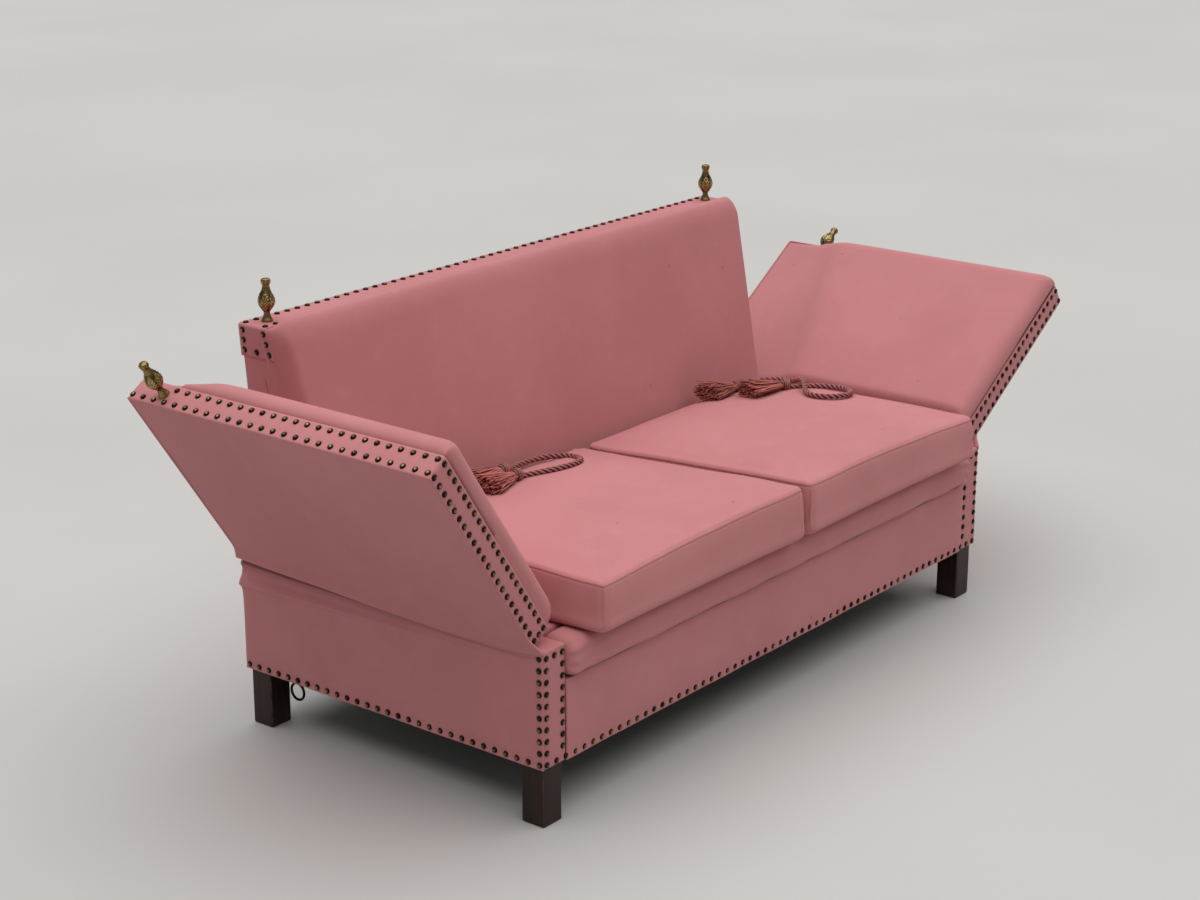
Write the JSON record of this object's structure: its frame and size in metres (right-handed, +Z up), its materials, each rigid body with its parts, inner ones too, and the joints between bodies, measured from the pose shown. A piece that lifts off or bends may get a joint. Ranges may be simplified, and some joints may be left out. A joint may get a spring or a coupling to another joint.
{
  "type": "drop-arm sofa",
  "caption": "Upholstered sofa on square legs with tilting drop arms, brass finials, domed nail trim, loose seat cushions and tasselled ropes.",
  "frame": {"origin": "on the floor under the middle of the base's outline", "axes": "+X along the sofa to the right as seen from the front, +Y to the rear, +Z up; the front faces -Y"},
  "size_m": [2.143, 0.7834, 0.859],
  "materials": {
    "rose_fabric": "plain-woven rose-pink cloth with a soft sheen",
    "frame_timber": "planed, unfinished beech",
    "dark_leg_wood": "dark stained, edges worn lighter",
    "jute_webbing": "woven jute",
    "black_lining": "thin black lining cloth",
    "bronze_nail": "darkened, worn bright on the crown",
    "finial_brass": "antique, dark in the hollows",
    "plain_steel": "plain",
    "black_iron": "black",
    "mauve_rope": "twisted cotton strands",
    "salmon_thread": "cut thread"
  },
  "bodies": {
    "frame": {"back_border": "rose_fabric", "back_lower_rail": "frame_timber", "back_nails": "bronze_nail", "back_pad": "rose_fabric", "back_rail": "frame_timber", "back_stiles": "frame_timber", "back_top_rail": "frame_timber", "back_webbing": "jute_webbing", "base_hinge_leaves": "plain_steel", "base_nails": "bronze_nail", "centre_rail": "frame_timber", "corner_blocks": "frame_timber", "dust_cover": "black_lining", "front_border": "rose_fabric", "front_cover": "rose_fabric", "front_left_leg": "dark_leg_wood", "front_rail": "frame_timber", "front_right_leg": "dark_leg_wood", "left_back_finial": "finial_brass", "left_front_post": "rose_fabric", "left_side_cover": "rose_fabric", "left_side_rail": "frame_timber", "leg_bolts": "plain_steel", "outside_back": "rose_fabric", "pawl_brackets": "black_iron", "pawl_springs": "plain_steel", "rear_left_leg": "dark_leg_wood", "rear_right_leg": "dark_leg_wood", "right_back_finial": "finial_brass", "right_front_post": "rose_fabric", "right_side_cover": "rose_fabric", "right_side_rail": "frame_timber", "seat_deck": "rose_fabric", "seat_webbing": "jute_webbing"},
    "left_arm": {"left_arm_frame": "frame_timber", "left_arm_pad": "rose_fabric", "left_arm_outer_cover": "rose_fabric", "left_arm_border": "rose_fabric", "left_arm_nails": "bronze_nail", "left_arm_finial": "finial_brass", "left_arm_hinge_leaves": "plain_steel", "left_arm_ratchet": "plain_steel"},
    "left_pawl": {"left_pawl": "black_iron"},
    "left_pull": {"left_pull_ring": "black_iron"},
    "left_cushion": {"left_seat_cushion": "rose_fabric", "left_rope": "mauve_rope", "left_tassels": "salmon_thread"},
    "right_arm": {"right_arm_frame": "frame_timber", "right_arm_pad": "rose_fabric", "right_arm_outer_cover": "rose_fabric", "right_arm_border": "rose_fabric", "right_arm_nails": "bronze_nail", "right_arm_finial": "finial_brass", "right_arm_hinge_leaves": "plain_steel", "right_arm_ratchet": "plain_steel"},
    "right_pawl": {"right_pawl": "black_iron"},
    "right_pull": {"right_pull_ring": "black_iron"},
    "right_cushion": {"right_seat_cushion": "rose_fabric", "right_rope": "mauve_rope", "right_tassels": "salmon_thread"}
  },
  "joints": [
    {"name": "left_arm_tilt", "type": "hinge", "parent": "frame", "child": "left_arm", "pos_m": [-0.714, 0, 0.334], "axis": [0, -1, 0], "range_deg": [-28, 46]},
    {"name": "left_pull_down", "type": "slide", "parent": "frame", "child": "left_pull", "axis": [0, 0, -1], "range_m": [0, 0.00355], "stiffness_N_per_m": 500, "springref_m": -0.006},
    {"name": "left_pawl_turn", "type": "hinge", "parent": "frame", "child": "left_pawl", "pos_m": [-0.688, 0.281, 0.284], "axis": [0, 1, 0], "range_deg": [0, 15.1]},
    {"name": "left_cushion_lift", "type": "slide", "parent": "frame", "child": "left_cushion", "axis": [0, 0, 1], "range_m": [0, 0.25]},
    {"name": "right_arm_tilt", "type": "hinge", "parent": "frame", "child": "right_arm", "pos_m": [0.714, 0, 0.334], "axis": [0, 1, 0], "range_deg": [-51, 23]},
    {"name": "right_pull_down", "type": "slide", "parent": "frame", "child": "right_pull", "axis": [0, 0, -1], "range_m": [0, 0.00355], "stiffness_N_per_m": 500, "springref_m": -0.006},
    {"name": "right_pawl_turn", "type": "hinge", "parent": "frame", "child": "right_pawl", "pos_m": [0.688, 0.281, 0.284], "axis": [0, -1, 0], "range_deg": [0, 15.1]},
    {"name": "right_cushion_lift", "type": "slide", "parent": "frame", "child": "right_cushion", "axis": [0, 0, 1], "range_m": [0, 0.25]}
  ],
  "couplings": [
    {"joint": "left_pawl_turn", "follows": "left_pull_down", "rad_per_m": 73.746},
    {"joint": "right_pawl_turn", "follows": "right_pull_down", "rad_per_m": 73.746}
  ]
}
